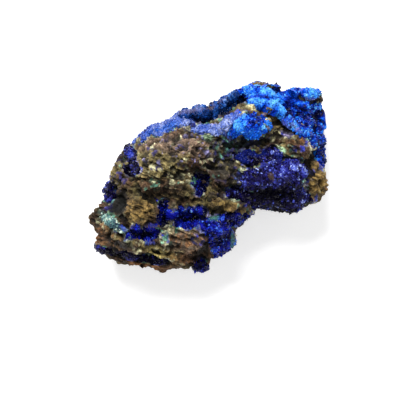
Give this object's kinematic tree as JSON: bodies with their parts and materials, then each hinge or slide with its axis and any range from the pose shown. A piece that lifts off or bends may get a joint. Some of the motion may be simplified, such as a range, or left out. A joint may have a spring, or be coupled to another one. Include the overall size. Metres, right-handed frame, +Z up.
{
  "type": "azurite mineral specimen",
  "caption": "Hand-sized broken lump of brown ironstone with crusts of small blue azurite crystals over its top, right side, hollows and seams, lying on its flat broken back.",
  "frame": {"origin": "on the surface the stone rests on, under the middle of its bounding box", "axes": "+Z up out of the show face, the stone lying on its broken back; +X along its length, towards the end with the horn; +Y towards the crown"},
  "size_m": [0.0392, 0.0315, 0.0199],
  "materials": {
    "ironstone": "rough earthy brown ironstone with olive and cream stains",
    "azurite": "glassy royal blue crystals",
    "azurite_bright": "glassy bright azure crystals",
    "azurite_dark": "glassy violet-navy crystals",
    "malachite": "powdery pale green"
  },
  "bodies": {
    "root": {"ironstone_matrix": "ironstone", "azurite_crown_crust": "azurite_bright", "azurite_shoulder_crust": "azurite_bright", "azurite_trench_crust": "azurite", "azurite_knob": "azurite_bright", "azurite_horn": "azurite_bright", "azurite_boss_druse": "azurite_dark", "azurite_notch_crust": "azurite", "azurite_oval_vug": "azurite", "azurite_arch_vug": "azurite", "azurite_slot_vug": "azurite", "azurite_foot_seam": "azurite_dark", "azurite_stub": "azurite", "azurite_left_vein": "azurite", "azurite_edge_patch": "azurite_dark", "malachite_patch": "malachite"}
  },
  "joints": []
}
